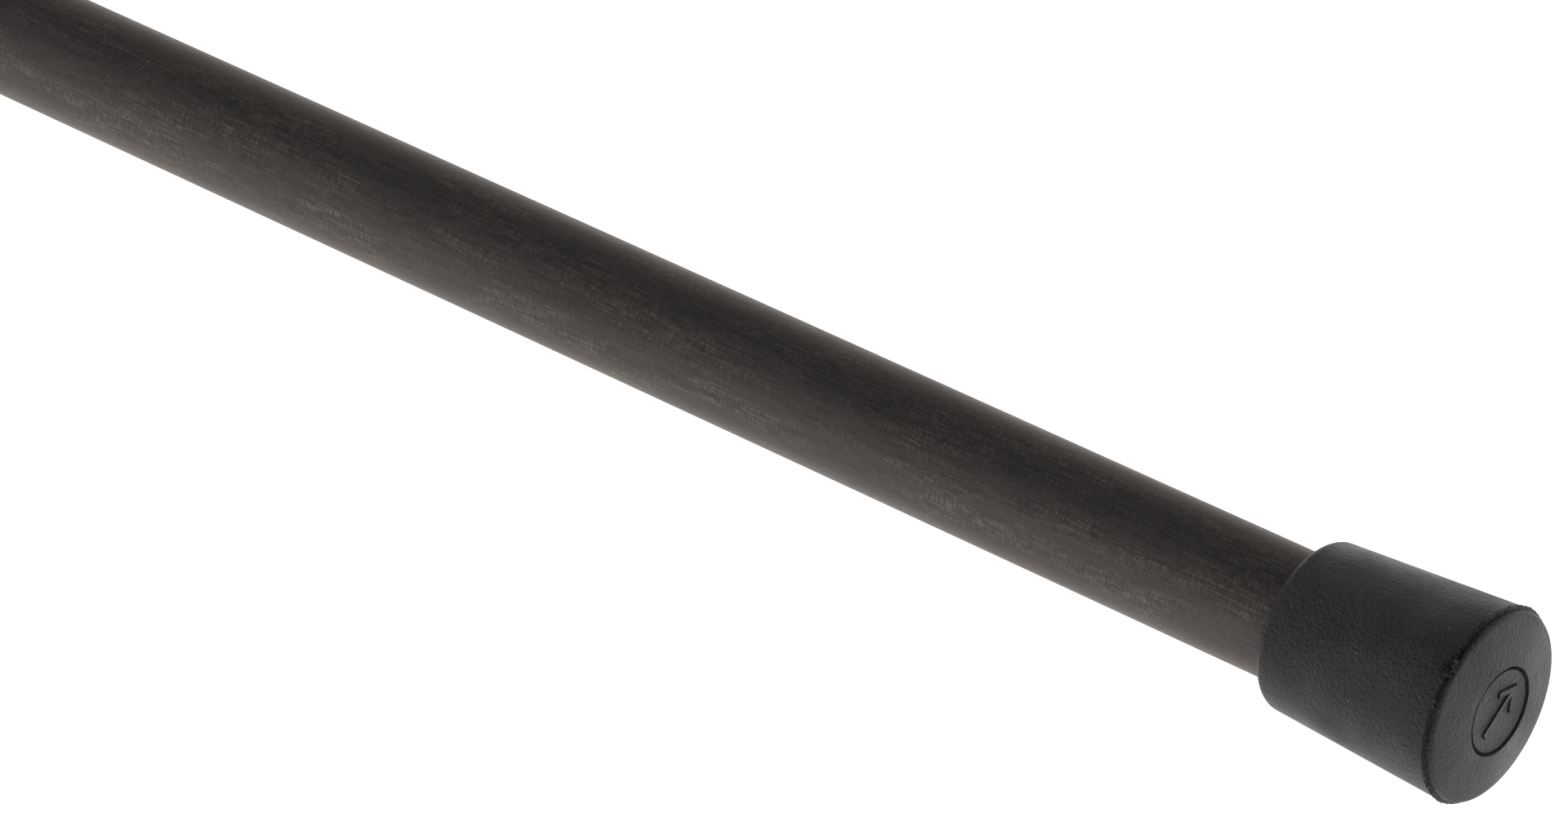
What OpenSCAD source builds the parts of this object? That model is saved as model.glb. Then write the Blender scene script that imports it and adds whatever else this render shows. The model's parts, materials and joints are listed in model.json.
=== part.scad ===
// Telescopic security bar that braces a sliding door or window between two flat faces.
// A round main tube carries a moulded rubber cap at one end and a twist lock at the other.
// The inner tube slides out of the lock, and a screw foot at its outer end takes up the last few millimetres.
// The bar lies along X and runs towards -X from the flat mark on the fixed cap's end face, at the origin.
// Every place along the bar is a distance from that face, so a larger distance is further along -X.

/* [Tubes] */
// Length between the two end faces with the inner tube pushed in
closed_len = 400; // [330:10:900]
// Outer diameter of the main tube
tube_od = 10; // [9:0.5:20]
// Wall of the main tube
tube_wall = 0.8; // [0.5:0.1:1]
// Wall of the inner tube
inner_wall = 0.6; // [0.4:0.1:0.8]
// Length of inner tube that stays bare between the lock nut and the threaded insert
bare_len = 12; // [4:1:40]
// Free length behind the guide plug when the bar is closed
park_gap = 22; // [2:0.5:60]

/* [Rubber caps] */
// Wall of a cap at its mouth
cap_mouth_wall = 1.55; // [1:0.05:3]
// Wall of a cap at its rim, beside the end face
cap_rim_wall = 2.55; // [1:0.05:4]
// Length of a cap from its mouth to its rim
cap_body_len = 15.7; // [10:0.1:30]
// Height of the domed end face above the rim
dome_height = 1.6; // [0.8:0.1:2.5]
// Thickness of a cap's bottom
cap_floor = 3; // [2:0.5:5]
// Diameter of the flat mark sunk in the end face
mark_d = 6.7; // [3:0.1:9]
// Depth of the mark's edge
mark_depth = 0.2; // [0.1:0.05:0.5]
// Chamfer round the outside of the mouth
mouth_chamfer = 0.5; // [0.2:0.1:0.9]
// Thickness of the steel disc in a cap
disc_len = 1; // [0.5:0.1:2]

/* [Twist lock] */
// Wall of the lock sleeve under its thread
sleeve_wall = 1.4; // [1.2:0.1:2.5]
// Length of the main tube inside the lock sleeve
sleeve_grip = 18; // [14:1:40]
// Length of the collar at the back of the lock sleeve
collar_len = 6; // [3:0.5:10]
// Height of the collar above the thread
collar_step = 0.8; // [0.4:0.1:2]
// Length of the lip that holds the guide bush
lip_len = 2; // [1:0.5:4]
// Length of the tapered seat
seat_len = 8; // [6:0.5:16]
// Growth of the seat's radius along its length
seat_taper = 0.8; // [0.5:0.1:1.2]
// Wall of the collet at its thin end
collet_wall = 0.7; // [0.6:0.1:0.8]
// Length of the collet's flange
collet_flange_len = 2; // [1:0.5:4]
// Width of the collet's slots
slot_w = 0.8; // [0.5:0.1:1.2]
// Number of slots in the collet
collet_slots = 4; // [3:1:6]
// Length of the guide bush inside the main tube
bush_len = 12; // [6:1:25]
// Length of the guide bush's flange
bush_flange_len = 1.5; // [0.5:0.5:3]
// Length of the ring between the nut and the collet
ring_len = 1; // [0.5:0.1:2]
// Wall of the lock nut under its ribs
nut_wall = 1.8; // [1.4:0.1:4]
// Thickness of the lock nut's end
nut_end_len = 3.5; // [2:0.5:6]
// Length of thread that shows behind the lock nut
thread_show = 3; // [1:0.5:5]
// Number of ribs round the lock nut
nut_ribs = 16; // [8:1:20]
// Radius of a rib
rib_r = 0.9; // [0.5:0.1:1]

/* [Screw foot] */
// Diameter of the stud's thread
stud_d = 5; // [3.5:0.5:5]
// Travel of the screw foot
screw_travel = 8; // [4:0.5:16]
// Diameter of the stud's smooth journal
journal_d = 4; // [3:0.5:4]
// Length of the threaded insert inside the inner tube
insert_len = 12; // [8:1:25]
// Length of the threaded insert's flange
insert_flange_len = 1.5; // [1:0.5:3]
// Diameter of the finger wheel
wheel_d = 17; // [14:0.5:25]
// Length of the finger wheel
wheel_len = 8; // [5:0.5:12]
// Number of grooves round the finger wheel
wheel_grooves = 24; // [12:1:30]
// Radius of a groove in the finger wheel
groove_r = 0.6; // [0.3:0.1:0.8]
// Gap between the wheel and the insert with the foot wound in
wheel_gap = 1; // [0.5:0.5:3]
// Thickness of the washer between the wheel and the stem
washer_len = 0.8; // [0.4:0.1:1.5]
// Length of the foot's stem
stem_len = 20; // [16:1:40]
// Depth of the hollow behind the cap's disc, where the journal's clip sits
clip_room = 8; // [6:0.5:9]
// Thickness of the clips on the stud
clip_len = 0.6; // [0.4:0.1:1]
// Diameter of the wheel's set screw
set_screw_d = 3; // [2:0.5:4]
// Diameter of the cross pins in the inner tube
pin_d = 1.5; // [1:0.1:2]
// Length of the guide plug's head
plug_head_len = 16; // [8:1:30]
// Length of the guide plug inside the inner tube
plug_spigot_len = 10; // [6:1:20]

/* [Clearances] */
// Radial gap of a running fit
run_gap = 0.05; // [0.02:0.01:0.1]
// Radial gap of the screw threads
thread_gap = 0.1; // [0.05:0.01:0.2]
// Radial gap between the two tubes
slide_gap = 0.2; // [0.1:0.05:0.3]
// Gap where one piece only passes another
open_gap = 0.3; // [0.2:0.05:0.5]

/* [Hidden] */
$fn = 96;
eps = 0.5;

// Chamfers at the ends of the turned pieces
collar_ease = 0.5;
nut_ease = 0.8;
rib_ease = 0.4;
plug_ease = 0.5;
stud_ease = 0.4;
journal_ease = 0.3;
wheel_ease = 0.6;
stem_ease = 0.4;

// Small fixed sizes
rib_start = 2.5;
rib_stop = 1.5;
flange_step = 0.1;
collet_setback = 1;
clip_groove = 0.5;
clip_slot_w = 1.2;
foot_clip_wall = 1.5;
washer_wall = 2.5;
stop_margin = 0.4;
stud_nose = 2;
journal_nose = 1.2;
screw_sink = 1.2;
socket_depth = 1.5;
pin_setback = 0.05;

// Cap
rim_r = tube_od / 2 + cap_rim_wall;
mouth_r = tube_od / 2 + cap_mouth_wall;
dome_r = (rim_r * rim_r + dome_height * dome_height) / (2 * dome_height);
mark_drop = dome_r - sqrt(dome_r * dome_r - mark_d * mark_d / 4);
rim_at = dome_height - mark_drop - mark_depth;
apex_at = rim_at - dome_height;
mouth_at = rim_at + cap_body_len;
disc_end = cap_floor + disc_len;

// Tubes
tube_id = tube_od - 2 * tube_wall;
inner_od = tube_id - 2 * slide_gap;
inner_id = inner_od - 2 * inner_wall;

// Screw foot, measured back from the adjuster's end face
stem_start = closed_len - disc_end;
stem_end = stem_start - stem_len;
wheel_far = stem_end - run_gap - washer_len - run_gap;
wheel_near = wheel_far - wheel_len;
wheel_middle = (wheel_near + wheel_far) / 2;
set_screw_len = (wheel_d - stud_d) / 2 - screw_sink;
insert_face = wheel_near - wheel_gap;
inner_end = insert_face - insert_flange_len;
insert_near = inner_end - insert_len;
stop_groove_at = insert_near - screw_travel - stop_margin - clip_len;
stud_near = stop_groove_at - stud_nose;
clip_at = stem_start - clip_room + run_gap;
journal_end = clip_at + clip_len + journal_nose;
stop_clip_od = inner_id - 2 * open_gap;
clip_od = journal_d + 2 * foot_clip_wall;
washer_od = journal_d + 2 * washer_wall;
washer_at = wheel_far + run_gap;

// Twist lock, measured back from the bare stretch of the inner tube
nut_far = inner_end - bare_len;
ring_far = nut_far - nut_end_len - run_gap;
ring_near = ring_far - ring_len;
flange_near = ring_near - collet_flange_len;
seat_far = flange_near - open_gap;
seat_near = seat_far - seat_len;
lip_near = seat_near - lip_len;
tube_far = lip_near - bush_flange_len;
sleeve_near = tube_far - sleeve_grip;
thread_near = sleeve_near + collar_len;
nut_near = thread_near + thread_show;
thread_d = tube_od + 2 * sleeve_wall;
collar_d = thread_d + 2 * collar_step;
nut_bore = thread_d + 2 * thread_gap;
nut_od = nut_bore + 2 * nut_wall;
grip_d = inner_od + 2 * run_gap;
seat_d_near = grip_d + 2 * collet_wall + 2 * run_gap;
seat_d_far = seat_d_near + 2 * seat_taper;
collet_near = seat_near + collet_setback;
collet_d_near = seat_d_near + 2 * seat_taper * (collet_near - seat_near) / seat_len - 2 * run_gap;
collet_d_far = seat_d_far - 2 * run_gap;
flange_d = seat_d_far + 2 * flange_step;
pass_d = inner_od + 2 * open_gap;

// Inner tube's hidden end
plug_near = disc_end + park_gap;
inner_near = plug_near + plug_head_len;
pin_at = inner_near + plug_spigot_len / 2;
insert_pin_at = inner_end - insert_len / 2;

// Solid bar of the given diameter between two distances
module rod(near, far, d) {
    translate([-near, 0, 0])
        rotate([0, -90, 0])
            cylinder(h = far - near, d = d);
}

// Cone between two distances
module cone(near, far, d_near, d_far) {
    translate([-near, 0, 0])
        rotate([0, -90, 0])
            cylinder(h = far - near, d1 = d_near, d2 = d_far);
}

// Pipe between two distances
module pipe(near, far, od, id) {
    difference() {
        rod(near, far, od);
        rod(near - eps, far + eps, id);
    }
}

// Rod with a chamfer at each end
module eased_rod(near, far, d, ease) {
    cone(near, near + ease, d - 2 * ease, d);
    rod(near + ease, far - ease, d);
    cone(far - ease, far, d, d - 2 * ease);
}

// Round pin across the bar, centred on its axis
module cross_pin(at, d, len) {
    translate([-at, 0, 0])
        cylinder(h = len, d = d, center = true);
}

// Opening in the top of a clip
module clip_slot(at, height) {
    translate([-at - clip_len - eps, -clip_slot_w / 2, 0])
        cube([clip_len + 2 * eps, clip_slot_w, height]);
}

// Copies its children to evenly spaced places round the bar
module round_bar(count) {
    for (i = [0 : count - 1]) {
        rotate([i * 360 / count, 0, 0])
            children();
    }
}

// Half section of a cap, with radius along X and distance from the end face along Y
module cap_section() {
    difference() {
        union() {
            intersection() {
                translate([0, apex_at])
                    square([rim_r, dome_height]);
                translate([0, apex_at + dome_r])
                    circle(r = dome_r);
            }
            polygon([
                [0, rim_at],
                [rim_r, rim_at],
                [mouth_r, mouth_at - mouth_chamfer],
                [mouth_r - mouth_chamfer, mouth_at],
                [0, mouth_at]
            ]);
        }
        translate([-eps, apex_at - eps])
            square([eps + mark_d / 2, eps - apex_at]);
        translate([-eps, cap_floor])
            square([eps + tube_od / 2, mouth_at]);
    }
}

// Moulded cap with its end face at the origin
module rubber_cap() {
    rotate([0, -90, 0])
        rotate_extrude()
            cap_section();
}

// Moves a piece from the fixed end to the adjuster's end and turns it to face the other way
module at_adjuster_end() {
    translate([-closed_len, 0, 0])
        rotate([0, 0, 180])
            children();
}

module main_tube() {
    color("#33302d")
        pipe(disc_end, tube_far, tube_od, tube_id);
}

module fixed_end_cap() {
    color("#2b2c30")
        rubber_cap();
}

module fixed_cap_washer() {
    color("silver")
        rod(cap_floor, disc_end, tube_od);
}

module lock_sleeve() {
    color("#24242a")
        difference() {
            union() {
                eased_rod(sleeve_near, thread_near, collar_d, collar_ease);
                rod(thread_near - 2 * eps, seat_far, thread_d);
            }
            rod(sleeve_near - eps, lip_near, tube_od);
            rod(lip_near - eps, seat_near + eps, pass_d);
            cone(seat_near, seat_far, seat_d_near, seat_d_far);
        }
}

module guide_bush() {
    color("ivory")
        difference() {
            union() {
                rod(tube_far - bush_len, tube_far + eps / 2, tube_id);
                rod(tube_far, lip_near, tube_od);
            }
            rod(tube_far - bush_len - eps, lip_near + eps, grip_d);
        }
}

module collet() {
    color("white")
        difference() {
            union() {
                cone(collet_near, seat_far, collet_d_near, collet_d_far);
                rod(seat_far, flange_near, collet_d_far);
                rod(flange_near, ring_near, flange_d);
            }
            rod(collet_near - eps, ring_near + eps, grip_d);
            round_bar(collet_slots)
                translate([-seat_far, -slot_w / 2, 0])
                    cube([seat_far - collet_near + eps, slot_w, flange_d]);
        }
}

module thrust_ring() {
    color("goldenrod")
        pipe(ring_near, ring_far, flange_d, pass_d);
}

module lock_nut() {
    color("#1d1d20")
        difference() {
            union() {
                eased_rod(nut_near, nut_far, nut_od, nut_ease);
                round_bar(nut_ribs)
                    translate([0, 0, nut_od / 2 - rib_r / 2])
                        eased_rod(nut_near + rib_start, nut_far - rib_stop, 2 * rib_r, rib_ease);
            }
            rod(nut_near - eps, ring_far + run_gap, nut_bore);
            rod(ring_far, nut_far + eps, pass_d);
        }
}

module inner_tube() {
    color("#8d8a84")
        difference() {
            pipe(inner_near, inner_end, inner_od, inner_id);
            cross_pin(pin_at, pin_d, tube_od);
            cross_pin(insert_pin_at, pin_d, tube_od);
        }
}

module guide_plug() {
    color("ivory")
        difference() {
            union() {
                eased_rod(plug_near, inner_near, tube_id - 2 * run_gap, plug_ease);
                eased_rod(inner_near - 2 * eps, inner_near + plug_spigot_len, inner_id, plug_ease);
            }
            cross_pin(pin_at, pin_d, tube_od);
        }
}

module plug_pin() {
    color("silver")
        cross_pin(pin_at, pin_d, inner_od - 2 * pin_setback);
}

module threaded_insert() {
    color("#b5913a")
        difference() {
            union() {
                rod(insert_near, inner_end + eps / 2, inner_id);
                rod(inner_end, insert_face, inner_od);
            }
            rod(insert_near - eps, insert_face + eps, stud_d + 2 * thread_gap);
            cross_pin(insert_pin_at, pin_d, tube_od);
        }
}

module insert_pins() {
    color("silver")
        difference() {
            cross_pin(insert_pin_at, pin_d, inner_od - 2 * pin_setback);
            cross_pin(insert_pin_at, pin_d + 2 * eps, stud_d + 4 * thread_gap);
        }
}

module adjuster_stud() {
    color("silver")
        difference() {
            union() {
                eased_rod(stud_near, wheel_far, stud_d, stud_ease);
                eased_rod(wheel_far - 2 * eps, journal_end, journal_d, journal_ease);
            }
            pipe(stop_groove_at, stop_groove_at + clip_len, stud_d + 2 * eps, stud_d - 2 * clip_groove);
            pipe(clip_at, clip_at + clip_len, journal_d + 2 * eps, journal_d - 2 * clip_groove);
        }
}

module stud_stop_clip() {
    color("#5a5a5c")
        difference() {
            pipe(stop_groove_at, stop_groove_at + clip_len, stop_clip_od, stud_d - 2 * clip_groove);
            clip_slot(stop_groove_at, stop_clip_od);
        }
}

module finger_wheel() {
    color("#8d8a84")
        difference() {
            eased_rod(wheel_near, wheel_far, wheel_d, wheel_ease);
            rod(wheel_near - eps, wheel_far + eps, stud_d);
            round_bar(wheel_grooves)
                translate([0, 0, wheel_d / 2 + groove_r / 3])
                    rod(wheel_near - eps, wheel_far + eps, 2 * groove_r);
            translate([-wheel_middle, 0, 0])
                cylinder(h = wheel_d, d = set_screw_d);
        }
}

module wheel_set_screw() {
    color("#3a3a3c")
        translate([-wheel_middle, 0, stud_d / 2])
            difference() {
                cylinder(h = set_screw_len, d = set_screw_d);
                translate([0, 0, set_screw_len - socket_depth])
                    cylinder(h = socket_depth + eps, d = set_screw_d / 2, $fn = 6);
            }
}

module thrust_washer() {
    color("goldenrod")
        pipe(washer_at, washer_at + washer_len, washer_od, journal_d);
}

module foot_clip() {
    color("#5a5a5c")
        difference() {
            pipe(clip_at, clip_at + clip_len, clip_od, journal_d - 2 * clip_groove);
            clip_slot(clip_at, clip_od);
        }
}

module foot_stem() {
    color("#33302d")
        difference() {
            eased_rod(stem_end, stem_start, tube_od, stem_ease);
            rod(stem_end - eps, stem_start, journal_d + 2 * run_gap);
            rod(stem_start - clip_room, stem_start + eps, clip_od + 2 * open_gap);
        }
}

module adjuster_cap_washer() {
    color("silver")
        at_adjuster_end()
            rod(cap_floor, disc_end, tube_od);
}

module adjuster_end_cap() {
    color("#2b2c30")
        at_adjuster_end()
            rubber_cap();
}

main_tube();
fixed_end_cap();
fixed_cap_washer();
lock_sleeve();
guide_bush();
collet();
thrust_ring();
lock_nut();
inner_tube();
guide_plug();
plug_pin();
threaded_insert();
insert_pins();
adjuster_stud();
stud_stop_clip();
finger_wheel();
wheel_set_screw();
thrust_washer();
foot_clip();
foot_stem();
adjuster_cap_washer();
adjuster_end_cap();
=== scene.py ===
"""Looks of a telescopic door security bar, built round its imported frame.

The bar lies level along X. Its fixed rubber cap faces +X, and the end face of that cap is at the
origin. The twist lock, the inner tube and the screw foot follow towards -X. All lengths are in
metres, and a place along the bar is a value of X.
"""

from __future__ import annotations

import json
import logging
import math
from dataclasses import dataclass
from enum import Enum
from typing import Any, Callable, Mapping, Sequence, Union

import bmesh
import bpy
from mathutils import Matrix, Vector
from mathutils.geometry import tessellate_polygon


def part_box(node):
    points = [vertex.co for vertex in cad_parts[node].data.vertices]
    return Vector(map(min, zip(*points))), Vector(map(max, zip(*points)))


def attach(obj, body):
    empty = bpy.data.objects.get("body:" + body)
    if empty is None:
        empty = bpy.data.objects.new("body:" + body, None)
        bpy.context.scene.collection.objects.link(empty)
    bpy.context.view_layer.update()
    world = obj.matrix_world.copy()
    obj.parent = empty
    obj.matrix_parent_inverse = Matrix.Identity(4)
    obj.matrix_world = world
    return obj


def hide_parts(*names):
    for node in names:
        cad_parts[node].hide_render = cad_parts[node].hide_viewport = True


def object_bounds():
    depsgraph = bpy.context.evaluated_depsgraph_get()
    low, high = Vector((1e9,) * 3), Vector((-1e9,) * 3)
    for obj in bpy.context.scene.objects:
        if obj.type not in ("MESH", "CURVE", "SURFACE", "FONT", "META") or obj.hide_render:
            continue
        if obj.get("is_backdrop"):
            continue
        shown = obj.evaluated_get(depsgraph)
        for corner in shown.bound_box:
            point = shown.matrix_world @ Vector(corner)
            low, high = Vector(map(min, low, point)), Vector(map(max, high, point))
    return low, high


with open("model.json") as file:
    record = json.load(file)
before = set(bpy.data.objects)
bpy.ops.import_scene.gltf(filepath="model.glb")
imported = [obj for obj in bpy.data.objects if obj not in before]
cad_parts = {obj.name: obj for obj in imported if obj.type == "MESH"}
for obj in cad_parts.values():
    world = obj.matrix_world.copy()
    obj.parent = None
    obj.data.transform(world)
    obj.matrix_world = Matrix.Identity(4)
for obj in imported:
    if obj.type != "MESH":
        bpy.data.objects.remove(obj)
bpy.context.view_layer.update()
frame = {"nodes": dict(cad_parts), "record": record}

LOG = logging.getLogger("security_bar")
MM = 0.001
RGB = tuple[float, float, float]
Range = tuple[float, float]
Rate = Union[float, tuple[float, float, float]]
Number = Union["Value", float]
Node = bpy.types.Node
Object = bpy.types.Object
Socket = bpy.types.NodeSocket
BMesh = bmesh.types.BMesh


# --- Node trees ---


class Value:
    """A number in a node tree. Arithmetic on it adds Math nodes."""

    def __init__(self, sheet: NodeSheet, socket: Socket) -> None:
        """Keep the tree's sheet and the socket that gives the number."""
        self.sheet = sheet
        self.socket = socket

    def __add__(self, other: Number) -> Value:
        """Return self + other."""
        return self.sheet.maths("ADD", self, other)

    __radd__ = __add__

    def __sub__(self, other: Number) -> Value:
        """Return self - other."""
        return self.sheet.maths("SUBTRACT", self, other)

    def __rsub__(self, other: Number) -> Value:
        """Return other - self."""
        return self.sheet.maths("SUBTRACT", other, self)

    def __mul__(self, other: Number) -> Value:
        """Return self * other."""
        return self.sheet.maths("MULTIPLY", self, other)

    __rmul__ = __mul__

    def __truediv__(self, other: Number) -> Value:
        """Return self / other."""
        return self.sheet.maths("DIVIDE", self, other)

    def __rtruediv__(self, other: Number) -> Value:
        """Return other / self."""
        return self.sheet.maths("DIVIDE", other, self)

    def __pow__(self, other: Number) -> Value:
        """Return self to the power of other."""
        return self.sheet.maths("POWER", self, other)

    def step(self, low: Number, high: Number) -> Value:
        """Return a smooth rise from 0 at low to 1 at high; a high below low makes a fall."""
        node = self.sheet.add(
            "ShaderNodeMapRange",
            {"interpolation_type": "SMOOTHSTEP", "clamp": True},
            {"Value": self, "From Min": low, "From Max": high},
        )
        return Value(self.sheet, node.outputs["Result"])


class NodeSheet:
    """Adds and joins the nodes of one tree."""

    def __init__(self, tree: bpy.types.NodeTree) -> None:
        """Keep the tree."""
        self.tree = tree

    def add(
        self,
        kind: str,
        settings: Mapping[str, Any] | None = None,
        inputs: Mapping[Union[str, int], Any] | None = None,
    ) -> Node:
        """Add one node.

        Args:
            kind: The node's type.
            settings: Its own settings, which are set first.
            inputs: A value or a link for each named or numbered socket.

        Returns:
            The new node.
        """
        node = self.tree.nodes.new(kind)
        for name, setting in (settings or {}).items():
            setattr(node, name, setting)
        for key, content in (inputs or {}).items():
            self.feed(node.inputs[key], content)
        return node

    def feed(self, socket: Socket, content: Any) -> None:
        """Link a socket to a value or another socket, or set what it holds.

        Args:
            socket: The input socket.
            content: A Value, a socket, or a plain setting.
        """
        if isinstance(content, Value):
            content = content.socket
        if isinstance(content, Socket):
            self.tree.links.new(content, socket)
        else:
            socket.default_value = content

    def maths(self, operation: str, *terms: Number) -> Value:
        """Return the result of a Math node."""
        node = self.add("ShaderNodeMath", {"operation": operation}, dict(enumerate(terms)))
        return Value(self, node.outputs["Value"])

    def mix(self, amount: Number, first: Any, second: Any) -> Socket:
        """Return a colour between two colours.

        Args:
            amount: 0 for the first colour, 1 for the second.
            first: A colour or a colour socket.
            second: A colour or a colour socket.

        Returns:
            The mixed colour's socket.
        """
        ends = [(*c, 1.0) if isinstance(c, tuple) else c for c in (first, second)]
        inputs = {0: amount, 6: ends[0], 7: ends[1]}
        return self.add("ShaderNodeMix", {"data_type": "RGBA"}, inputs).outputs[2]

    def split(self, vector: Socket) -> tuple[Value, Value, Value]:
        """Return a vector's three numbers."""
        node = self.add("ShaderNodeSeparateXYZ", inputs={"Vector": vector})
        return tuple(Value(self, out) for out in node.outputs)

    def join(self, x: Number, y: Number, z: Number) -> Socket:
        """Return a vector made of three numbers."""
        return self.add("ShaderNodeCombineXYZ", inputs={"X": x, "Y": y, "Z": z}).outputs["Vector"]

    def scaled(self, place: Socket, rate: Rate) -> Socket:
        """Return coordinates times a rate, or times one rate for each axis."""
        terms = {0: place, 1: rate if isinstance(rate, tuple) else (rate,) * 3}
        return self.add("ShaderNodeVectorMath", {"operation": "MULTIPLY"}, terms).outputs["Vector"]

    def noise(self, place: Socket, rate: Rate, detail: float = 2.0, rough: float = 0.5) -> Value:
        """Return soft noise.

        Args:
            place: The coordinates.
            rate: Cells to a metre, or one number for each axis.
            detail: Number of finer layers.
            rough: Strength of the finer layers.

        Returns:
            The noise, mostly between 0.3 and 0.7.
        """
        vector = self.scaled(place, rate)
        inputs = {"Vector": vector, "Scale": 1.0, "Detail": detail, "Roughness": rough}
        return Value(self, self.add("ShaderNodeTexNoise", inputs=inputs).outputs["Fac"])

    def cells(self, place: Socket, pitch: float) -> Value:
        """Return the distance, in pitches, to the nearest of points about a pitch apart."""
        inputs = {"Vector": self.scaled(place, 1 / pitch), "Scale": 1.0}
        return Value(self, self.add("ShaderNodeTexVoronoi", inputs=inputs).outputs["Distance"])


# --- Finishes ---


FINISHED: dict[str, bpy.types.Material] = {}


class Lay(Enum):
    """Direction of the fine marks that a finishing tool leaves on a round bar."""

    ALONG = "along"
    AROUND = "around"


@dataclass(frozen=True)
class Finish:
    """A named surface finish. Each kind paints its own nodes."""

    name: str

    def material(self) -> bpy.types.Material:
        """Return the finish's material, which is made the first time it is asked for.

        Returns:
            The material.
        """
        made = FINISHED.get(self.name)
        if made is None:
            made = FINISHED[self.name] = bpy.data.materials.new(self.name)
            made.use_nodes = True
            made.node_tree.nodes.clear()
            sheet = NodeSheet(made.node_tree)
            shader = sheet.add("ShaderNodeBsdfPrincipled")
            place = sheet.add("ShaderNodeTexCoord").outputs["Object"]
            for name, content in self.paint(sheet, place).items():
                sheet.feed(shader.inputs[name], content)
            sheet.add("ShaderNodeOutputMaterial", inputs={"Surface": shader.outputs["BSDF"]})
        return made

    def paint(self, sheet: NodeSheet, place: Socket) -> dict[str, Any]:
        """Add the finish's own nodes.

        Args:
            sheet: The material's node sheet.
            place: The Object coordinates.

        Returns:
            What the sockets of the Principled shader get, by name.
        """
        raise NotImplementedError

    @staticmethod
    def bump(sheet: NodeSheet, height: Value, depth: float) -> Socket:
        """Return a normal bumped by a height from 0 to 1 that stands for a depth."""
        inputs = {"Height": height, "Distance": depth}
        return sheet.add("ShaderNodeBump", inputs=inputs).outputs["Normal"]


@dataclass(frozen=True)
class BrushedMetal(Finish):
    """Metal with fine tool marks, all one way, and slow changes of tone."""

    colour: RGB
    shade: RGB
    lay: Lay
    roughness: float = 0.32
    wear: float = 0.14
    mark_width: float = 0.12 * MM
    mark_length: float = 12 * MM
    broad: Range = (5.0, 4.0)
    shares: tuple[float, ...] = (0.6, 0.4)
    tone_range: Range = (0.3, 0.7)
    depth: float = 0.004 * MM

    def marks(
        self, sheet: NodeSheet, place: Socket, wider: float = 1.0, longer: float = 1.0
    ) -> Value:
        """Return noise drawn out along the lay.

        Args:
            sheet: The material's node sheet.
            place: The Object coordinates.
            wider: Width of the marks in mark widths.
            longer: Length of the marks in mark lengths.

        Returns:
            The noise.
        """
        across, along = 1 / (wider * self.mark_width), 1 / (longer * self.mark_length)
        rate = (along, across, across) if self.lay is Lay.ALONG else (across, along, along)
        return sheet.noise(place, rate, detail=3.0, rough=0.6)

    def paint(self, sheet: NodeSheet, place: Socket) -> dict[str, Any]:
        """Paint marks in the tone, the roughness and the normal.

        Args:
            sheet: The material's node sheet.
            place: The Object coordinates.

        Returns:
            What the shader's sockets get.
        """
        fine = self.marks(sheet, place)
        broad = self.marks(sheet, place, *self.broad)
        fine_share, broad_share = self.shares
        tone = (fine_share * fine + broad_share * broad).step(*self.tone_range)
        return {
            "Base Color": sheet.mix(tone, self.shade, self.colour),
            "Metallic": 1.0,
            "Roughness": self.roughness + self.wear * tone,
            "Normal": self.bump(sheet, fine, self.depth),
        }


@dataclass(frozen=True)
class DarkBrushedTube(BrushedMetal):
    """Dark oxidised metal brushed along its length, with a cross grain and painted highlights of
    warm glints.
    """

    wear: float = 0.12
    broad: Range = (6.0, 5.0)
    shares: tuple[float, ...] = (0.4, 0.2, 0.4)
    tone_range: Range = (0.36, 0.64)
    metallic: float = 0.65
    # Colour of the painted highlights: warm glints painted into the base colour.
    painted_glint_colour: RGB = (0.17, 0.152, 0.128)
    tint: RGB = (0.96, 0.88, 0.82)
    cross_width: float = 0.1 * MM
    cross_length: float = 0.6 * MM
    patch_rate: Rate = (90.0, 500.0, 500.0)
    patch_range: Range = (0.42, 0.6)
    glint_spot_range: Range = (0.24, 0.42)
    painted_glint_strength: float = 0.7
    relief_shares: Range = (0.6, 0.4)

    def paint(self, sheet: NodeSheet, place: Socket) -> dict[str, Any]:
        """Paint brush marks, cross grain, painted highlights of warm glints where they meet, and
        slow patches of tone.

        Args:
            sheet: The material's node sheet.
            place: The Object coordinates.

        Returns:
            What the shader's sockets get.
        """
        fine = self.marks(sheet, place)
        broad = self.marks(sheet, place, *self.broad)
        along, around = 1 / self.cross_width, 1 / self.cross_length
        cross = sheet.noise(place, (along, around, around), detail=3.0, rough=0.6)
        patch = sheet.noise(place, self.patch_rate)
        fine_share, broad_share, cross_share = self.shares
        mixed = fine_share * fine + broad_share * broad + cross_share * cross
        tone = mixed.step(*self.tone_range)
        # Glint spots: smoother in roughness, and lightened in base colour as painted highlights.
        spark = (fine * cross).step(*self.glint_spot_range) * patch.step(*self.patch_range)
        painted_glint = spark * self.painted_glint_strength
        metal = sheet.mix(tone, self.shade, self.colour)
        fine_relief, cross_relief = self.relief_shares
        return {
            # Base colour lightened towards the glint colour at the spots: a painted highlight.
            "Base Color": sheet.mix(painted_glint, metal, self.painted_glint_colour),
            "Metallic": self.metallic,
            "Specular Tint": (*self.tint, 1.0),
            "Roughness": self.roughness + self.wear * tone - self.wear * spark,
            "Normal": self.bump(sheet, fine_relief * fine + cross_relief * cross, self.depth),
        }


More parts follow.
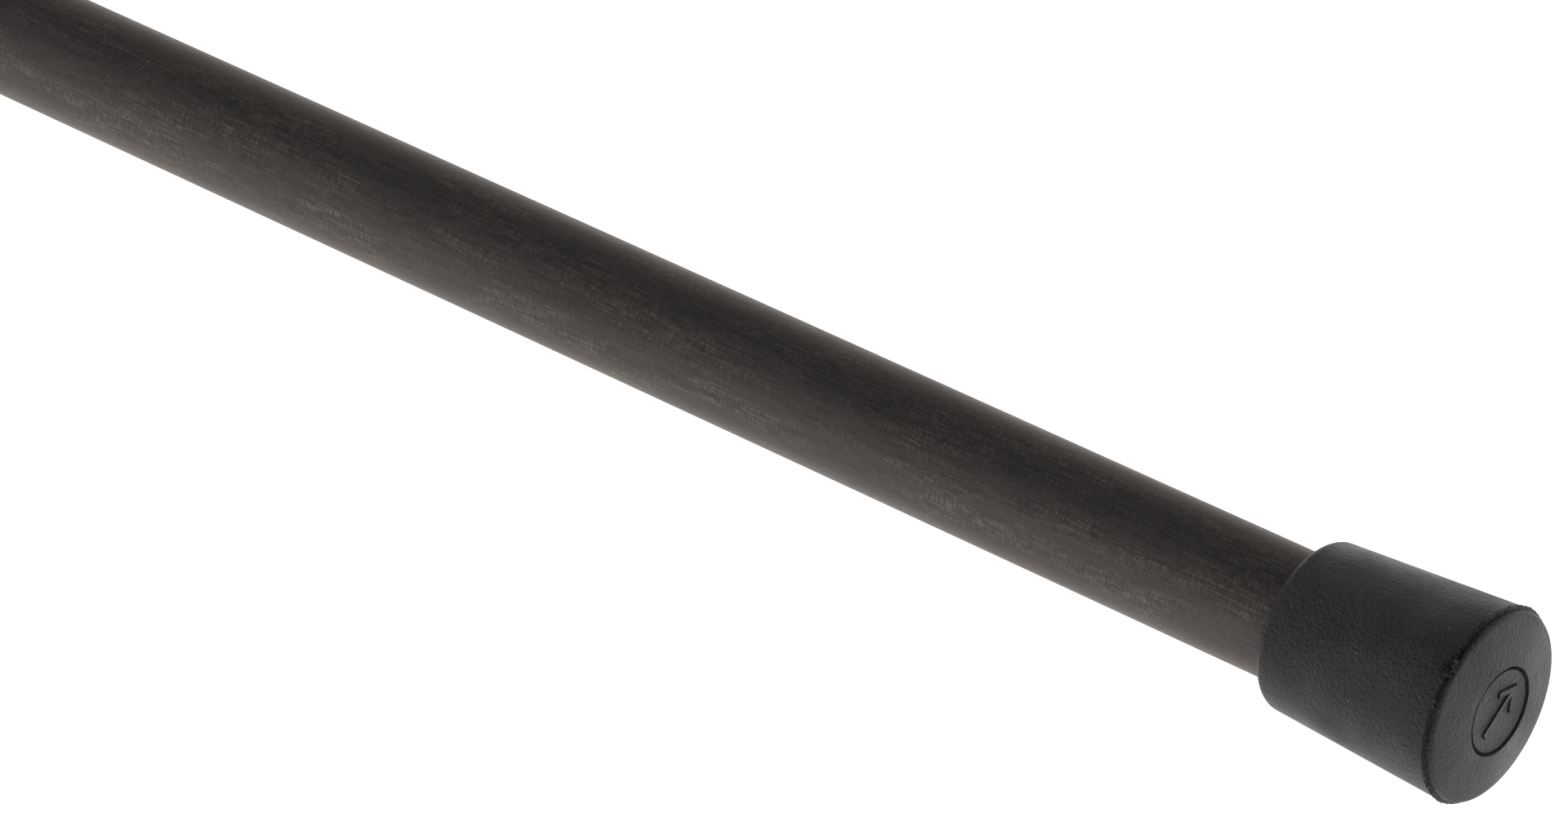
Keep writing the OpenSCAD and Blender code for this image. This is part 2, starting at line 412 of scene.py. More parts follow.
@dataclass(frozen=True)
class MouldedRubber(Finish):
    """Soft moulded rubber with a fine leathery grain, slow changes of tone, specks of dust and
    painted shade in the mark's groove.
    """

    colour: RGB
    shade: RGB
    dust: RGB = (0.4, 0.4, 0.4)
    roughness: float = 0.36
    slow_wear: float = 0.45
    dust_wear: float = 0.3
    groove_shade_roughness: float = 0.35
    sheen: float = 0.34
    tint: RGB = (1.0, 0.95, 0.94)
    grain_pitch: float = 0.24 * MM
    grain_depth: float = 0.4 * MM
    pebble_pitch: float = 0.32 * MM
    relief_shares: RGB = (0.55, 0.2, 0.25)
    slow_rate: float = 180.0
    tone_shares: Range = (0.4, 0.6)
    tone_range: Range = (0.38, 0.64)
    speck_pitch: float = 0.8 * MM
    speck_range: Range = (0.055, 0.035)
    # Ring round the mark's groove that is painted darker and made rougher: painted shade.
    groove_shade_radius: float = 3.3 * MM
    groove_shade_width: float = 0.17 * MM
    groove_shade_edge: Range = (0.6, 1.2)

    def paint(self, sheet: NodeSheet, place: Socket) -> dict[str, Any]:
        """Paint the grain, its worn tops, the tone, the dust and the painted shade in the mark's
        groove.

        Args:
            sheet: The material's node sheet.
            place: The Object coordinates.

        Returns:
            What the shader's sockets get.
        """
        rate = 1 / self.grain_pitch
        grain = sheet.noise(place, rate, rough=0.55)
        fine = sheet.noise(place, 4 * rate, rough=0.6)
        slow = sheet.noise(place, self.slow_rate)
        dusty = sheet.cells(place, self.speck_pitch).step(*self.speck_range)
        _, y, z = sheet.split(place)
        # Near the groove's radius the colour falls to the shade colour: painted shade of the
        # groove.
        off_groove = sheet.maths("ABSOLUTE", (y * y + z * z) ** 0.5 - self.groove_shade_radius)
        unshaded = off_groove.step(*(part * self.groove_shade_width for part in self.groove_shade_edge))
        pebbles = 1 - sheet.cells(place, self.pebble_pitch)
        grain_share, fine_share, pebble_share = self.relief_shares
        relief = grain_share * grain + fine_share * fine + pebble_share * pebbles
        relief_share, slow_share = self.tone_shares
        tone = (relief_share * relief + slow_share * slow).step(*self.tone_range)
        rubber = sheet.mix(tone * unshaded, self.shade, self.colour)
        colour = sheet.mix(dusty, rubber, self.dust)
        worn = self.roughness + self.slow_wear * (0.5 - slow)
        return {
            "Base Color": colour,
            "Metallic": 0.0,
            "Specular IOR Level": self.sheen,
            "Specular Tint": (*self.tint, 1.0),
            "Roughness": worn + self.dust_wear * dusty + self.groove_shade_roughness * (1 - unshaded),
            "Normal": self.bump(sheet, relief, self.grain_depth),
        }


@dataclass(frozen=True)
class MouldedPlastic(Finish):
    """Hard moulded plastic with an even spark-eroded texture and slow changes of sheen."""

    colour: RGB
    shade: RGB
    roughness: float = 0.4
    wear: float = 0.25
    grain_pitch: float = 0.18 * MM
    grain_depth: float = 0.006 * MM
    slow_rate: float = 260.0
    tone_range: Range = (0.35, 0.65)
    subsurface: float = 0.0
    subsurface_depth: float = 0.5 * MM

    def paint(self, sheet: NodeSheet, place: Socket) -> dict[str, Any]:
        """Paint the texture, the tone and the sheen.

        Args:
            sheet: The material's node sheet.
            place: The Object coordinates.

        Returns:
            What the shader's sockets get.
        """
        grain = sheet.noise(place, 1 / self.grain_pitch, detail=3.0, rough=0.6)
        slow = sheet.noise(place, self.slow_rate)
        return {
            "Base Color": sheet.mix(slow.step(*self.tone_range), self.shade, self.colour),
            "Metallic": 0.0,
            "Roughness": self.roughness + self.wear * (slow - 0.5),
            "Subsurface Weight": self.subsurface,
            "Subsurface Scale": self.subsurface_depth,
            "Normal": self.bump(sheet, grain, self.grain_depth),
        }


@dataclass(frozen=True)
class StudioPaper(Finish):
    """Seamless pale paper that is lit from behind as well as from above."""

    colour: RGB = (0.93, 0.93, 0.93)
    roughness: float = 0.9
    glow: float = 0.95
    tooth_rate: float = 900.0
    tooth_depth: float = 0.02 * MM

    def paint(self, sheet: NodeSheet, place: Socket) -> dict[str, Any]:
        """Paint the paper's faint tooth and its glow.

        Args:
            sheet: The material's node sheet.
            place: The Object coordinates.

        Returns:
            What the shader's sockets get.
        """
        tooth = sheet.noise(place, self.tooth_rate)
        return {
            "Base Color": (*self.colour, 1.0),
            "Roughness": self.roughness,
            "Emission Color": (1.0, 1.0, 1.0, 1.0),
            "Emission Strength": self.glow,
            "Normal": self.bump(sheet, tooth, self.tooth_depth),
        }


TUBE_METAL = DarkBrushedTube(
    "dark_brushed_tube",
    (0.078, 0.0705, 0.067),
    (0.038, 0.0345, 0.033),
    Lay.ALONG,
    roughness=0.4,
    mark_width=0.105 * MM,
    mark_length=2.6 * MM,
    depth=0.011 * MM,
)
CAP_RUBBER = MouldedRubber("grained_cap_rubber", (0.0214, 0.019, 0.0238), (0.0093, 0.0083, 0.011))
# No painted groove shade on the torn and pale bits of rubber.
NO_GROOVE_SHADE = {"groove_shade_radius": 0.0, "groove_shade_width": 0.01 * MM}
# Darker than the cap's rubber as painted shade of the torn pit; its low roughness is the torn
# rubber's own gloss.
TORN_RUBBER_PIT_SHADE = MouldedRubber(
    "torn_rubber_pit_shade", (0.012, 0.012, 0.014), (0.006, 0.006, 0.007), roughness=0.24, **NO_GROOVE_SHADE
)
# Pale specks along the rim, lighter than the cap's rubber.
PALE_SPECK_RUBBER = MouldedRubber("pale_speck_rubber", (0.2, 0.2, 0.2), (0.05, 0.05, 0.05), **NO_GROOVE_SHADE)
LOCK_NYLON = MouldedPlastic("moulded_black_nylon", (0.026, 0.026, 0.028), (0.018, 0.018, 0.02))
NUT_PLASTIC = MouldedPlastic(
    "moulded_nut_plastic", (0.021, 0.021, 0.023), (0.014, 0.014, 0.016), roughness=0.34
)
NATURAL_NYLON = MouldedPlastic(
    "moulded_natural_nylon", (0.75, 0.72, 0.63), (0.66, 0.63, 0.53), roughness=0.42, subsurface=0.2
)
TUBE_STEEL = BrushedMetal(
    "drawn_tube_steel", (0.46, 0.44, 0.415), (0.33, 0.315, 0.3), Lay.ALONG, roughness=0.24
)
TURNED_STEEL = BrushedMetal(
    "turned_steel", (0.47, 0.455, 0.43), (0.34, 0.33, 0.31), Lay.AROUND, mark_length=6 * MM
)
BRIGHT_STEEL = BrushedMetal(
    "ground_bright_steel", (0.56, 0.56, 0.56), (0.42, 0.42, 0.42), Lay.AROUND, roughness=0.22
)
SPRING_STEEL = BrushedMetal(
    "blued_spring_steel", (0.13, 0.13, 0.14), (0.07, 0.07, 0.08), Lay.AROUND, roughness=0.38
)
TURNED_BRASS = BrushedMetal(
    "turned_brass", (0.66, 0.47, 0.19), (0.5, 0.34, 0.12), Lay.AROUND, roughness=0.25
)
FLOOR_PAPER = StudioPaper("pale_floor")


# --- Turned shapes ---


ARC_STEP = math.radians(11)
ON_AXIS = 1e-7
RING_PITCH = 10 * MM


@dataclass(frozen=True)
class Corner:
    """A corner of a half section: its place along the bar, its radius, and its round's size."""

    x: float
    r: float
    round: float = 0.0


@dataclass(frozen=True)
class Span:
    """The stretch of the bar that a CAD node fills, from its +X end to its -X end."""

    near: float
    far: float
    radius: float

    @classmethod
    def of(cls, node: str) -> Span:
        """Return the stretch and the outer radius of a CAD node."""
        low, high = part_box(node)
        return cls(high[0], low[0], (high[1] - low[1]) / 2)


def soften(corners: Sequence[Corner], closed: bool) -> list[tuple[float, float]]:
    """Turn corners into an outline with its rounds drawn as arcs.

    Args:
        corners: The corners in order.
        closed: True if the last corner joins the first.

    Returns:
        The outline's points, each a place along the bar and a radius.
    """
    count = len(corners)
    outline: list[tuple[float, float]] = []
    for index, corner in enumerate(corners):
        here = Vector((corner.x, corner.r))
        inner = closed or 0 < index < count - 1
        if corner.round <= 0 or not inner:
            outline.append(tuple(here))
            continue
        before, after = corners[index - 1], corners[(index + 1) % count]
        to_before = (Vector((before.x, before.r)) - here).normalized()
        to_after = (Vector((after.x, after.r)) - here).normalized()
        half = to_before.angle(to_after) / 2
        middle = here + (to_before + to_after).normalized() * (corner.round / math.sin(half))
        start = here + to_before * (corner.round / math.tan(half)) - middle
        crossed = to_before.x * to_after.y - to_before.y * to_after.x
        turn = (math.pi - 2 * half) * (1 if crossed < 0 else -1)
        steps = max(2, math.ceil(abs(turn) / ARC_STEP))
        for step in range(steps + 1):
            cos, sin = math.cos(turn * step / steps), math.sin(turn * step / steps)
            x = middle.x + start.x * cos - start.y * sin
            r = middle.y + start.x * sin + start.y * cos
            outline.append((x, r))
    return outline


def stepped(start: float, end: float, pitch: float) -> list[float]:
    """Return evenly spaced places between two ends, both left out, about a pitch apart."""
    count = max(1, round(abs(end - start) / pitch))
    return [start + (end - start) * i / count for i in range(1, count)]


def rings(start: float, end: float, pitch: float, radius: float) -> list[Corner]:
    """Return corners on a straight side between two places, about a pitch apart."""
    return [Corner(x, radius) for x in stepped(start, end, pitch)]


def tube_section(span: Span, inner: float, outer_round: float, inner_round: float) -> list[Corner]:
    """Return the half section of a plain tube or washer.

    Args:
        span: The stretch that it fills.
        inner: Its inner radius.
        outer_round: Round of its outer edges.
        inner_round: Round of its inner edges.

    Returns:
        The corners.
    """
    return [
        Corner(span.near, span.radius, outer_round),
        *rings(span.near, span.far, RING_PITCH, span.radius),
        Corner(span.far, span.radius, outer_round),
        Corner(span.far, inner, inner_round),
        *reversed(rings(span.near, span.far, RING_PITCH, inner)),
        Corner(span.near, inner, inner_round),
    ]


def inset(outline: Sequence[Vector], amount: float) -> list[Vector]:
    """Draw an outline in by an amount.

    Args:
        outline: Its corners, anticlockwise.
        amount: Distance between the old and the new sides.

    Returns:
        The new corners.
    """
    drawn = []
    for i, here in enumerate(outline):
        into = (here - outline[i - 1]).normalized()
        out = (outline[(i + 1) % len(outline)] - here).normalized()
        first, second = Vector((-into.y, into.x, 0)), Vector((-out.y, out.x, 0))
        drawn.append(here + (first + second) * (amount / (1 + first.dot(second))))
    return drawn


@dataclass
class Turning:
    """A body of revolution round the bar's axis, made ring by ring."""

    outline: Sequence[tuple[float, float]]
    closed: bool = True
    segments: int = 96

    def mesh(self) -> BMesh:
        """Make the turned mesh.

        Returns:
            The mesh; its rings start with the outline's first point.
        """
        mesh = bmesh.new()
        loops = [self._loop(mesh, x, r) for x, r in self.outline]
        pairs = list(zip(loops, loops[1:]))
        if self.closed:
            pairs.append((loops[-1], loops[0]))
        for first, second in pairs:
            self._bridge(mesh, first, second)
        return mesh

    def _loop(self, mesh: BMesh, x: float, r: float) -> list[bmesh.types.BMVert]:
        """Add one ring of points, or one point where the outline meets the axis.

        Args:
            mesh: The mesh.
            x: Place of the ring along the bar.
            r: Its radius.

        Returns:
            The new points.
        """
        if r < ON_AXIS:
            return [mesh.verts.new((x, 0, 0))]
        angles = (2 * math.pi * i / self.segments for i in range(self.segments))
        return [mesh.verts.new((x, r * math.cos(a), r * math.sin(a))) for a in angles]

    @staticmethod
    def _bridge(
        mesh: BMesh, first: list[bmesh.types.BMVert], second: list[bmesh.types.BMVert]
    ) -> None:
        """Join two rings with faces.

        Args:
            mesh: The mesh.
            first: Points of the first ring.
            second: Points of the second ring.
        """
        count = max(len(first), len(second))
        for i in range(count):
            j = (i + 1) % count
            if len(first) == 1:
                mesh.faces.new((first[0], second[i], second[j]))
            elif len(second) == 1:
                mesh.faces.new((first[i], second[0], first[j]))
            else:
                mesh.faces.new((first[i], second[i], second[j], first[j]))


def put(name: str, data: bpy.types.ID) -> Object:
    """Put a new object with the given data into the scene.

    Args:
        name: The object's name.
        data: Its mesh, light or camera.

    Returns:
        The object, at the origin.
    """
    made = bpy.data.objects.new(name, data)
    bpy.context.scene.collection.objects.link(made)
    return made


def put_mesh(name: str, mesh: BMesh) -> Object:
    """Put a bmesh into the scene with its faces turned outwards.

    Args:
        name: The object's name.
        mesh: The mesh, which is used up.

    Returns:
        The object, at the origin.
    """
    bmesh.ops.recalc_face_normals(mesh, faces=mesh.faces)
    if mesh.calc_volume(signed=True) < 0:
        bmesh.ops.reverse_faces(mesh, faces=mesh.faces)
    data = bpy.data.meshes.new(name)
    mesh.to_mesh(data)
    mesh.free()
    return put(name, data)


def make_piece(name: str, mesh: BMesh, finish: Finish, crease: float = 32.0) -> Object:
    """Turn a bmesh into a smooth object with a finish.

    Args:
        name: The object's name.
        mesh: The mesh, which is used up.
        finish: The object's finish.
        crease: Angle in degrees above which an edge stays sharp.

    Returns:
        The new object.
    """
    made = put_mesh(name, mesh)
    made.data.polygons.foreach_set("use_smooth", [True] * len(made.data.polygons))
    made.data.set_sharp_from_angle(angle=math.radians(crease))
    made.data.materials.append(finish.material())
    return made


def turned(
    name: str, corners: Sequence[Corner], finish: Finish, segments: int = 96, closed: bool = True
) -> Object:
    """Return a turned object made from the corners of its half section."""
    return make_piece(name, Turning(soften(corners, closed), closed, segments).mesh(), finish)


def plain_mesh(made: Object) -> Object:
    """Replace an object's modifiers with the mesh that they make.

    Args:
        made: The object, which keeps its name.

    Returns:
        The same object, with a plain mesh.
    """
    graph = bpy.context.evaluated_depsgraph_get()
    old = made.data
    new = bpy.data.meshes.new_from_object(made.evaluated_get(graph))
    made.modifiers.clear()
    made.data = new
    bpy.data.meshes.remove(old)
    new.name = made.name
    return made


def drill(made: Object, x: float, radius: float, low: float, high: float) -> Object:
    """Bore an upright hole across a turned object.

    Args:
        made: The object.
        x: The hole's place along the bar.
        radius: The hole's radius.
        low: Height of the hole's lower end.
        high: Height of the hole's upper end.

    Returns:
        The same object, with the hole.
    """
    mesh = bmesh.new()
    sizes = {"radius1": radius, "radius2": radius, "depth": high - low}
    bmesh.ops.create_cone(mesh, cap_ends=True, segments=32, **sizes)
    bmesh.ops.translate(mesh, verts=mesh.verts, vec=(x, 0, (low + high) / 2))
    tool = put_mesh("drill", mesh)
    cut = made.modifiers.new("hole", "BOOLEAN")
    cut.operation = "DIFFERENCE"
    cut.solver = "MANIFOLD"
    cut.object = tool
    plain_mesh(made)
    bpy.data.meshes.remove(tool.data)
    return made


# --- Geometry Nodes tools ---


class Tool:
    """A Geometry Nodes tree that reshapes or makes a mesh, and then leaves a plain mesh."""

    SOCKETS = {float: "NodeSocketFloat", int: "NodeSocketInt"}

    def __init__(
        self, name: str, inputs: Mapping[str, Any], build: Callable[[NodeSheet, Any], Any]
    ) -> None:
        """Build the tree.

        Args:
            name: The tree's name.
            inputs: Its named inputs, each with its setting.
            build: Adds the nodes, given the sheet and the inputs, and returns the geometry.
        """
        self.inputs = inputs
        self.tree = bpy.data.node_groups.new(name, "GeometryNodeTree")
        new_socket = self.tree.interface.new_socket
        new_socket("Geometry", in_out="INPUT", socket_type="NodeSocketGeometry")
        self.identifiers = {}
        for label, setting in inputs.items():
            kind = self.SOCKETS.get(type(setting), "NodeSocketMaterial")
            socket = new_socket(label, in_out="INPUT", socket_type=kind)
            self.identifiers[label] = socket.identifier
        new_socket("Geometry", in_out="OUTPUT", socket_type="NodeSocketGeometry")
        sheet = NodeSheet(self.tree)
        given = sheet.add("NodeGroupInput").outputs
        values = {label: Value(sheet, given[label]) for label in inputs}
        shape = build(sheet, {"Geometry": given["Geometry"], **values})
        loose = sheet.add("GeometryNodeRealizeInstances", inputs={"Geometry": shape})
        dress = {"Geometry": loose.outputs["Geometry"], "Material": values["Material"]}
        dressed = sheet.add("GeometryNodeSetMaterial", inputs=dress)
        sheet.add("NodeGroupOutput", inputs={"Geometry": dressed.outputs["Geometry"]})

    def use_on(self, made: Object, crease: float = 32.0) -> Object:
        """Run the tree on an object and keep the result as its plain mesh.

        Args:
            made: The object.
            crease: Angle in degrees above which an edge stays sharp.

        Returns:
            The same object.
        """
        modifier = made.modifiers.new(self.tree.name, "NODES")
        modifier.node_group = self.tree
        for label, setting in self.inputs.items():
            modifier[self.identifiers[label]] = setting
        plain_mesh(made)
        made.data.set_sharp_from_angle(angle=math.radians(crease))
        return made


@dataclass(frozen=True)
class SkinCut:
    """A stretch of a turned piece's outer skin that a pattern of hollows is cut into.

    It runs from near towards -X to far and fades over ease at both ends. The pattern is at most
    depth deep, and a point belongs to the skin when its radius is above skin.
    """

    near: float
    far: float
    ease: float
    depth: float
    skin: float

    def tool(
        self,
        name: str,
        finish: Finish,
        sizes: Mapping[str, float],
        hollow: Callable[[NodeSheet, Any, Value, Value], Value],
    ) -> Tool:
        """Return the tool that cuts the pattern.

        Args:
            name: The tool's name.
            finish: The finish of the result.
            sizes: The pattern's own inputs.
            hollow: Gives the pattern from 0 to 1, given the sheet, the inputs, the place along
                the bar and the angle round it.

        Returns:
            The tool.
        """

        def build(sheet: NodeSheet, given: Any) -> Socket:
            """Move each point of the skin inwards by the pattern.

            Args:
                sheet: The tree's node sheet.
                given: The tree's inputs.

            Returns:
                The cut geometry.
            """
            x, y, z = sheet.split(sheet.add("GeometryNodeInputPosition").outputs["Position"])
            radius = (y * y + z * z) ** 0.5
            pattern = hollow(sheet, given, x, sheet.maths("ARCTAN2", z, y))
            past_near = x.step(given["Near"], given["Near"] - given["Ease"])
            before_far = x.step(given["Far"], given["Far"] + given["Ease"])
            on_skin = sheet.maths("GREATER_THAN", radius, given["Skin"])
            cut = given["Depth"] * pattern * (past_near * before_far) * on_skin
            kept = 1 - cut / radius
            inputs = {"Geometry": given["Geometry"], "Position": sheet.join(x, y * kept, z * kept)}
            return sheet.add("GeometryNodeSetPosition", inputs=inputs).outputs["Geometry"]

        place = {field.capitalize(): size for field, size in vars(self).items()}
        return Tool(name, {**sizes, **place, "Material": finish.material()}, build)


def fluting(cut: SkinCut, count: int, sharpness: float, finish: Finish) -> Tool:
    """Return a tool that sinks even hollows into the outer skin and leaves ribs between them.

    Args:
        cut: Where and how deep the hollows are.
        count: Number of ribs round the bar.
        sharpness: Power of the wave between the ribs; above 1 makes the ribs narrower.
        finish: The finish of the result.

    Returns:
        The tool.
    """

    def hollow(sheet: NodeSheet, given: Any, x: Value, angle: Value) -> Value:
        """Return a wave round the bar."""
        wave = 0.5 + 0.5 * sheet.maths("COSINE", angle * given["Count"])
        return 1 - wave ** given["Sharpness"]

    return cut.tool("fluting", finish, {"Count": count, "Sharpness": sharpness}, hollow)


def threading(cut: SkinCut, finish: Finish) -> Tool:
    """Return a tool that cuts a right-hand screw thread into the outer skin.

    Args:
        cut: Where and how deep the thread is; its ease is also the thread's pitch.
        finish: The finish of the result.

    Returns:
        The tool.
    """
    turns_added, flank_range = 1000.0, (0.12, 0.88)

    def hollow(sheet: NodeSheet, given: Any, x: Value, angle: Value) -> Value:
        """Return a wave that climbs one pitch a turn; turns are added to keep it above zero."""
        turns = x / given["Ease"] - angle / (2 * math.pi) + turns_added
        return (sheet.maths("ABSOLUTE", sheet.maths("FRACT", turns) - 0.5) * 2).step(*flank_range)

    return cut.tool("threading", finish, {}, hollow)


@dataclass(frozen=True)
class TornArc:
    """An arc of a cap's rim where the mould tore the rubber.

    Its angles are in degrees from +Y towards +Z, and its ranges are random: reach and spread move
    a nib across the rim and along the bar in nib sizes, and turn and stretch turn and scale it.
    """

    name: str
    start: float
    sweep: float
    count: int
    size: float
    seed: int
    finish: Finish = TORN_RUBBER_PIT_SHADE
    reach: Range = (-0.7, 0.25)
    spread: Range = (-1.2, 1.2)
    turn: Range = (0.0, 6.28)
    stretch: tuple[Range, Range, Range] = ((0.3, 1.2), (0.2, 0.8), (0.5, 1.9))


def nib_scatter(arc: TornArc, x: float, radius: float) -> Tool:
    """Return a tool that scatters torn nibs of rubber along an arc of a cap's rim.

    Args:
        arc: The arc and its nibs.
        x: Place of the rim along the bar.
        radius: Radius of the rim.

    Returns:
        The tool.
    """

    def build(sheet: NodeSheet, given: Any) -> Socket:
        """Set lumps at random places on the arc, each turned and drawn out at random.

        Args:
            sheet: The tree's node sheet.
            given: The tree's inputs.

        Returns:
            The lumps as instances.
        """
        index = Value(sheet, sheet.add("GeometryNodeInputIndex").outputs["Index"])

        def draw(offset: int, low: float, high: float) -> Value:
            """Return one random number a nib."""
            inputs = {2: low, 3: high, "ID": index, "Seed": given["Seed"] + offset}
            return Value(sheet, sheet.add("FunctionNodeRandomValue", inputs=inputs).outputs[1])

        angle = given["Start"] + given["Sweep"] * draw(0, 0.0, 1.0)
        reach = given["Radius"] + given["Size"] * draw(1, *arc.reach)
        along = given["Place"] + given["Size"] * draw(2, *arc.spread)
        cos, sin = sheet.maths("COSINE", angle), sheet.maths("SINE", angle)
        points = sheet.add(
            "GeometryNodePoints",
            inputs={
                "Count": given["Count"],
                "Position": sheet.join(along, reach * cos, reach * sin),
                "Radius": MM,
            },
        )
        lump = sheet.add(
            "GeometryNodeMeshIcoSphere", inputs={"Radius": given["Size"], "Subdivisions": 1}
        )
        placed = sheet.add(
            "GeometryNodeInstanceOnPoints",
            inputs={
                "Points": points.outputs["Points"],
                "Instance": lump.outputs["Mesh"],
                "Rotation": sheet.join(draw(3, *arc.turn), draw(4, *arc.turn), angle),
                "Scale": sheet.join(*(draw(5 + i, *ends) for i, ends in enumerate(arc.stretch))),
            },
        )
        return placed.outputs["Instances"]

    inputs = {
        "Count": arc.count,
        "Place": x,
        "Radius": radius,
        "Start": math.radians(arc.start),
        "Sweep": math.radians(arc.sweep),
        "Size": arc.size,
        "Seed": arc.seed,
        "Material": arc.finish.material(),
    }
    return Tool("nib_scatter", inputs, build)


# --- The workshop: joins what is made to the frame ---


class Workshop:
    """Knows which body and slot each CAD node belongs to, and fits pieces to the frame."""

    def __init__(self, record: Mapping[str, Any]) -> None:
        """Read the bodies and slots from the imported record.

        Args:
            record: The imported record.
        """
        bodies = record["behaviour"]["bodies"]
        self.body_of = {node: body for body, nodes in bodies.items() for node in nodes}
        self.slot_of = {row["node"]: row["material_slot"] for row in record["subparts"]}

    def fit(self, piece: Object, node: str, hides: bool = True) -> None:
        """Make a piece ride with a CAD node's body.

        Args:
            piece: The piece.
            node: The CAD node that it stands for or belongs to.
            hides: True if the piece stands in for the node.
        """
        body, faces = self.body_of[node], len(piece.data.polygons)
        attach(piece, body)
        if hides:
            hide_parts(node)
        LOG.info("piece %s rides on %s with %d faces", piece.name, body, faces)

    def dress(self, finish: Finish, *nodes: str) -> None:
        """Give CAD nodes that stay a finish of their own.

        Args:
            finish: The finish.
            nodes: The nodes.
        """
        for node in nodes:
            shown = frame["nodes"][node]
            shown.data.materials.clear()
            shown.data.materials.append(finish.material())
            LOG.info("node %s is dressed in %s", node, finish.name)


# --- Sub-assemblies ---


@dataclass
class RubberCap:
    """A moulded push-on cap: domed end with a sunk mark, a flash line at the rim, a round mouth."""

    node: str
    outward: float
    bore: float = 5.0 * MM
    floor: float = 3.2 * MM
    mark_radius: float = 3.45 * MM
    mark_depth: float = 0.1 * MM
    rim_back: float = 1.33 * MM
    mouth_radius: float = 6.55 * MM
    dome_radius: float = 30.0 * MM
    dome_pitch: float = 0.5 * MM
    side_pitch: float = 1.2 * MM
    shoulder: float = 0.36 * MM
    undercut: float = 0.08 * MM
    lip: float = 0.8 * MM
    spare: float = 0.05 * MM
    flash: float = 0.17 * MM
    flash_waves: tuple[int, int, int, int] = (23, 9, 61, 37)
    flash_shares: tuple[float, float, float] = (0.5, 0.3, 0.6)
    flash_phase: float = 1.0
    flash_drift: float = 0.02 * MM
    groove_depth: float = 0.26 * MM
    groove_width: float = 0.27 * MM
    stroke: float = 0.46 * MM
    arrow_tail: float = -2.2 * MM
    arrow_tip: float = 2.3 * MM
    arrow_barb: float = 1.45 * MM
    arrow_turn: float = 35.0
    trench_width: float = 0.13 * MM
    trench_depth: float = 0.14 * MM
    trench_foot: float = 0.3
    symbol_slope: float = 0.03 * MM
    segments: int = 288
    torn: tuple[TornArc, ...] = (
        TornArc("nib_cluster", 125.5, 9.0, 150, 0.24 * MM, 4),
        TornArc("nib_trail", 94.0, 35.0, 44, 0.085 * MM, 7),
        TornArc("nib_strays", 112.0, 116.0, 56, 0.07 * MM, 9, PALE_SPECK_RUBBER),
    )

    def __post_init__(self) -> None:
        """Take the cap's place and its outer sizes from the frame."""
        span = Span.of(self.node)
        self.rim_radius = span.radius
        ends = (span.near, span.far) if self.outward > 0 else (span.far, span.near)
        self.edge = ends[0]
        self.mouth = abs(ends[1] - ends[0])

    def at(self, back: float) -> float:
        """Return the place along the bar at a distance behind the end face's edge."""
        return self.edge - self.outward * back

    def dome_back(self, radius: float) -> float:
        """Return how far the domed face lies behind the mark's edge at a radius."""
        drop = math.sqrt(self.dome_radius**2 - radius**2)
        return math.sqrt(self.dome_radius**2 - self.mark_radius**2) - drop

    def build(self, workshop: Workshop) -> None:
        """Make the cap and its torn nibs and fit both.

        Args:
            workshop: Fits pieces to the frame.
        """
        mesh = Turning(self._outline(), closed=False, segments=self.segments).mesh()
        self._roughen_flash(mesh)
        self._fill_mark(mesh)
        cap = make_piece(f"{self.node}_moulded", mesh, CAP_RUBBER)
        workshop.fit(cap, self.node)
        for arc in self.torn:
            holder = make_piece(f"{self.node}_{arc.name}", bmesh.new(), arc.finish)
            tool = nib_scatter(arc, self.at(self.rim_back - self.spare), self.rim_radius)
            workshop.fit(tool.use_on(holder, crease=70), self.node, hides=False)

    def _outline(self) -> list[tuple[float, float]]:
        """Draw the half section from the mark's floor, over the rim and into the bore.

        Returns:
            The outline's points.
        """
        ledge, spare = 0.1 * MM, self.spare
        rim, mark, groove = self.rim_radius - spare, self.mark_radius, self.groove_width
        face_edge, neck = rim - ledge, rim - ledge - self.undercut
        sunk, rim_at, start = self.mark_depth, self.rim_back, self.rim_back + ledge
        taper, length = self.mouth_radius - rim, self.mouth - start
        dome = stepped(mark, face_edge, self.dome_pitch)[:-1]
        side = stepped(start, self.mouth - self.side_pitch, self.side_pitch)
        points = [
            (sunk, mark - groove - ledge),
            (sunk, mark - groove, 0.04 * MM),
            (sunk + self.groove_depth, mark - 0.6 * groove, 0.03 * MM),
            (sunk + self.groove_depth, mark - 0.3 * groove, 0.03 * MM),
            (0, mark, 0.06 * MM),
            *[(self.dome_back(r), r) for r in dome],
            (self.dome_back(face_edge), face_edge, self.shoulder),
            (rim_at - 0.3 * MM, neck, 0.08 * MM),
            (rim_at - 0.08 * MM, neck, 0.04 * MM),
            (rim_at, rim + self.flash, 0.015 * MM),
            (rim_at + spare, rim + 0.7 * self.flash, 0.015 * MM),
            (start, rim, 0.02 * MM),
            *[(back, rim + taper * (back - start) / length) for back in side],
            (self.mouth, self.mouth_radius, self.lip),
            (self.mouth, self.bore, 0.25 * MM),
            (self.floor, self.bore, 0.3 * MM),
            (self.floor, 0.0),
        ]
        return soften([Corner(self.at(back), *rest) for back, *rest in points], closed=False)

